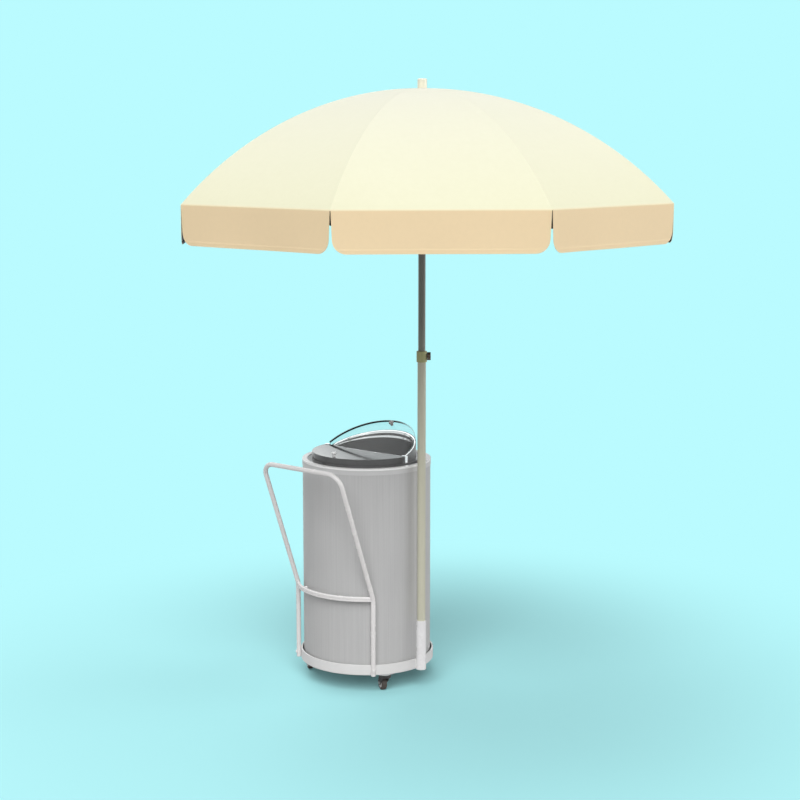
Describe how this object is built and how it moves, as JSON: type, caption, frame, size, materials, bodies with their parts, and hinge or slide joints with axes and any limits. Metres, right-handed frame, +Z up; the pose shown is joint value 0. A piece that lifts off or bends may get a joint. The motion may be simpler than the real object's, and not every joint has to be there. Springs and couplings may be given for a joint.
{
  "type": "cooler cart",
  "caption": "Round insulated drinks cooler on swivel casters with a push handle, split lid and a folding sunshade on a telescopic pole.",
  "frame": {"origin": "on the floor, on the axis of the sunshade pole, which is the middle of the plan of the whole part", "axes": "+Z up; the cooler drum stands on the -X side of the pole and its push handle faces -Y"},
  "size_m": [1.5456, 1.5456, 2.0603],
  "materials": {
    "white_plastic": "satin",
    "drum_paint": "satin",
    "foam": "matte",
    "tub_plastic": "satin",
    "dark_plastic": "gloss",
    "grey_rubber": "matte",
    "bright_metal": "polished",
    "clear_plastic": "gloss",
    "knob_plastic": "gloss",
    "drain_plastic": "satin",
    "white_tube": "gloss",
    "zinc_plate": "satin",
    "fork_black": "satin",
    "hub_plastic": "satin",
    "tyre_rubber": "matte",
    "cream_paint": "satin",
    "olive_plastic": "satin",
    "brown_plastic": "satin",
    "grey_brown_paint": "satin",
    "black_plastic": "satin",
    "cream_plastic": "satin",
    "rib_steel": "satin",
    "shade_cloth": "matte"
  },
  "bodies": {
    "cart": {"base_tray": "white_plastic", "drum_shell": "drum_paint", "foam_insulation": "foam", "inner_liner": "tub_plastic", "rim_trim": "white_plastic", "lid_collar": "dark_plastic", "hood_frame": "bright_metal", "hood_gasket": "grey_rubber", "lid_hinge": "bright_metal", "drain_spout": "drain_plastic", "handle_tube": "white_tube", "handle_crossbar": "white_tube", "frame_fixings": "white_tube", "pole_socket": "white_tube", "caster_plates": "zinc_plate"},
    "front_lid": {"front_lid": "dark_plastic", "front_lid_knob": "knob_plastic"},
    "clear_flap": {"clear_flap": "clear_plastic", "flap_knob": "knob_plastic"},
    "drain_cap": {"drain_cap": "drain_plastic"},
    "lower_pole": {"lower_pole": "cream_paint", "clamp_collar": "olive_plastic"},
    "clamp_knob": {"clamp_knob": "brown_plastic"},
    "upper_pole": {"upper_pole": "grey_brown_paint", "crown": "black_plastic", "finial": "cream_plastic"},
    "runner": {"runner": "black_plastic"},
    "rib_1": {"rib_1": "rib_steel", "shade_panel_1": "shade_cloth"},
    "stretcher_1": {"stretcher_1": "rib_steel"},
    "rib_2": {"rib_2": "rib_steel", "shade_panel_2": "shade_cloth"},
    "stretcher_2": {"stretcher_2": "rib_steel"},
    "rib_3": {"rib_3": "rib_steel", "shade_panel_3": "shade_cloth"},
    "stretcher_3": {"stretcher_3": "rib_steel"},
    "rib_4": {"rib_4": "rib_steel", "shade_panel_4": "shade_cloth"},
    "stretcher_4": {"stretcher_4": "rib_steel"},
    "rib_5": {"rib_5": "rib_steel", "shade_panel_5": "shade_cloth"},
    "stretcher_5": {"stretcher_5": "rib_steel"},
    "rib_6": {"rib_6": "rib_steel", "shade_panel_6": "shade_cloth"},
    "stretcher_6": {"stretcher_6": "rib_steel"},
    "rib_7": {"rib_7": "rib_steel", "shade_panel_7": "shade_cloth"},
    "stretcher_7": {"stretcher_7": "rib_steel"},
    "rib_8": {"rib_8": "rib_steel", "shade_panel_8": "shade_cloth"},
    "stretcher_8": {"stretcher_8": "rib_steel"},
    "caster_1": {"caster_fork_1": "fork_black"},
    "wheel_1": {"caster_hub_1": "hub_plastic", "caster_tyre_1": "tyre_rubber"},
    "caster_2": {"caster_fork_2": "fork_black"},
    "wheel_2": {"caster_hub_2": "hub_plastic", "caster_tyre_2": "tyre_rubber"},
    "caster_3": {"caster_fork_3": "fork_black"},
    "wheel_3": {"caster_hub_3": "hub_plastic", "caster_tyre_3": "tyre_rubber"}
  },
  "joints": [
    {"name": "front_lid_hinge", "type": "hinge", "parent": "cart", "child": "front_lid", "pos_m": [-0.2486, -0.006, 0.7975], "axis": [-1, 0, 0], "range_deg": [0, 75]},
    {"name": "clear_flap_hinge", "type": "hinge", "parent": "cart", "child": "clear_flap", "pos_m": [-0.2486, -0.006, 0.7975], "axis": [1, 0, 0], "range_deg": [-10.3, 33]},
    {"name": "drain_cap_pull", "type": "slide", "parent": "cart", "child": "drain_cap", "axis": [0, 1, 0], "range_m": [0, 0.03]},
    {"name": "pole_lift", "type": "slide", "parent": "cart", "child": "lower_pole", "axis": [0, 0, 1], "range_m": [0, 0.16]},
    {"name": "clamp_turn", "type": "hinge", "parent": "lower_pole", "child": "clamp_knob", "pos_m": [0, 0, 1.1495], "axis": [0.757, 0.6534, 0], "range_deg": [0, 360]},
    {"name": "pole_height", "type": "slide", "parent": "lower_pole", "child": "upper_pole", "axis": [0, 0, 1], "range_m": [-0.18, 0.12]},
    {"name": "shade_fold", "type": "slide", "parent": "upper_pole", "child": "runner", "axis": [0, 0, 1], "range_m": [-0.41302, 0], "deforming": ["shade_panel_1", "shade_panel_2", "shade_panel_3", "shade_panel_4", "shade_panel_5", "shade_panel_6", "shade_panel_7", "shade_panel_8"]},
    {"name": "rib_1_fold", "type": "hinge", "parent": "upper_pole", "child": "rib_1", "pos_m": [0.01858, 0.00741, 2.0192], "axis": [-0.3706, 0.9288, 0], "range_deg": [0, 62.05]},
    {"name": "stretcher_1_fold", "type": "hinge", "parent": "rib_1", "child": "stretcher_1", "pos_m": [0.30698, 0.12247, 1.96533], "axis": [-0.3706, 0.9288, 0], "range_deg": [-107.4, 0]},
    {"name": "rib_2_fold", "type": "hinge", "parent": "upper_pole", "child": "rib_2", "pos_m": [0.00789, 0.01838, 2.0192], "axis": [-0.9188, 0.3947, 0], "range_deg": [0, 62.05]},
    {"name": "stretcher_2_fold", "type": "hinge", "parent": "rib_2", "child": "stretcher_2", "pos_m": [0.13047, 0.30367, 1.96533], "axis": [-0.9188, 0.3947, 0], "range_deg": [-107.4, 0]},
    {"name": "rib_3_fold", "type": "hinge", "parent": "upper_pole", "child": "rib_3", "pos_m": [-0.00741, 0.01858, 2.0192], "axis": [-0.9288, -0.3706, 0], "range_deg": [0, 62.05]},
    {"name": "stretcher_3_fold", "type": "hinge", "parent": "rib_3", "child": "stretcher_3", "pos_m": [-0.12247, 0.30698, 1.96533], "axis": [-0.9288, -0.3706, 0], "range_deg": [-107.4, 0]},
    {"name": "rib_4_fold", "type": "hinge", "parent": "upper_pole", "child": "rib_4", "pos_m": [-0.01838, 0.00789, 2.0192], "axis": [-0.3947, -0.9188, 0], "range_deg": [0, 62.05]},
    {"name": "stretcher_4_fold", "type": "hinge", "parent": "rib_4", "child": "stretcher_4", "pos_m": [-0.30367, 0.13047, 1.96533], "axis": [-0.3947, -0.9188, 0], "range_deg": [-107.4, 0]},
    {"name": "rib_5_fold", "type": "hinge", "parent": "upper_pole", "child": "rib_5", "pos_m": [-0.01858, -0.00741, 2.0192], "axis": [0.3706, -0.9288, 0], "range_deg": [0, 62.05]},
    {"name": "stretcher_5_fold", "type": "hinge", "parent": "rib_5", "child": "stretcher_5", "pos_m": [-0.30698, -0.12247, 1.96533], "axis": [0.3706, -0.9288, 0], "range_deg": [-107.4, 0]},
    {"name": "rib_6_fold", "type": "hinge", "parent": "upper_pole", "child": "rib_6", "pos_m": [-0.00789, -0.01838, 2.0192], "axis": [0.9188, -0.3947, 0], "range_deg": [0, 62.05]},
    {"name": "stretcher_6_fold", "type": "hinge", "parent": "rib_6", "child": "stretcher_6", "pos_m": [-0.13047, -0.30367, 1.96533], "axis": [0.9188, -0.3947, 0], "range_deg": [-107.4, 0]},
    {"name": "rib_7_fold", "type": "hinge", "parent": "upper_pole", "child": "rib_7", "pos_m": [0.00741, -0.01858, 2.0192], "axis": [0.9288, 0.3706, 0], "range_deg": [0, 62.05]},
    {"name": "stretcher_7_fold", "type": "hinge", "parent": "rib_7", "child": "stretcher_7", "pos_m": [0.12247, -0.30698, 1.96533], "axis": [0.9288, 0.3706, 0], "range_deg": [-107.4, 0]},
    {"name": "rib_8_fold", "type": "hinge", "parent": "upper_pole", "child": "rib_8", "pos_m": [0.01838, -0.00789, 2.0192], "axis": [0.3947, 0.9188, 0], "range_deg": [0, 62.05]},
    {"name": "stretcher_8_fold", "type": "hinge", "parent": "rib_8", "child": "stretcher_8", "pos_m": [0.30367, -0.13047, 1.96533], "axis": [0.3947, 0.9188, 0], "range_deg": [-107.4, 0]},
    {"name": "caster_1_swivel", "type": "hinge", "parent": "cart", "child": "caster_1", "pos_m": [-0.07331, -0.10533, 0], "axis": [0, 0, 1], "continuous": true},
    {"name": "wheel_1_spin", "type": "hinge", "parent": "caster_1", "child": "wheel_1", "pos_m": [-0.09339, -0.0941, 0.024], "axis": [0.4879, 0.8729, 0], "continuous": true},
    {"name": "caster_2_swivel", "type": "hinge", "parent": "cart", "child": "caster_2", "pos_m": [-0.24503, 0.20447, 0], "axis": [0, 0, 1], "continuous": true},
    {"name": "wheel_2_spin", "type": "hinge", "parent": "caster_2", "child": "wheel_2", "pos_m": [-0.2641, 0.21733, 0.024], "axis": [0.5592, 0.829, 0], "continuous": true},
    {"name": "caster_3_swivel", "type": "hinge", "parent": "cart", "child": "caster_3", "pos_m": [-0.42746, -0.09914, 0], "axis": [0, 0, 1], "continuous": true},
    {"name": "wheel_3_spin", "type": "hinge", "parent": "caster_3", "child": "wheel_3", "pos_m": [-0.44578, -0.08524, 0.024], "axis": [0.6046, 0.7965, 0], "continuous": true}
  ],
  "couplings": [
    {"joint": "rib_1_fold", "follows": "shade_fold", "rad_per_m": -2.62},
    {"joint": "stretcher_1_fold", "follows": "shade_fold", "rad_per_m": 4.5366},
    {"joint": "rib_2_fold", "follows": "shade_fold", "rad_per_m": -2.62},
    {"joint": "stretcher_2_fold", "follows": "shade_fold", "rad_per_m": 4.5366},
    {"joint": "rib_3_fold", "follows": "shade_fold", "rad_per_m": -2.62},
    {"joint": "stretcher_3_fold", "follows": "shade_fold", "rad_per_m": 4.5366},
    {"joint": "rib_4_fold", "follows": "shade_fold", "rad_per_m": -2.62},
    {"joint": "stretcher_4_fold", "follows": "shade_fold", "rad_per_m": 4.5366},
    {"joint": "rib_5_fold", "follows": "shade_fold", "rad_per_m": -2.62},
    {"joint": "stretcher_5_fold", "follows": "shade_fold", "rad_per_m": 4.5366},
    {"joint": "rib_6_fold", "follows": "shade_fold", "rad_per_m": -2.62},
    {"joint": "stretcher_6_fold", "follows": "shade_fold", "rad_per_m": 4.5366},
    {"joint": "rib_7_fold", "follows": "shade_fold", "rad_per_m": -2.62},
    {"joint": "stretcher_7_fold", "follows": "shade_fold", "rad_per_m": 4.5366},
    {"joint": "rib_8_fold", "follows": "shade_fold", "rad_per_m": -2.62},
    {"joint": "stretcher_8_fold", "follows": "shade_fold", "rad_per_m": 4.5366}
  ]
}
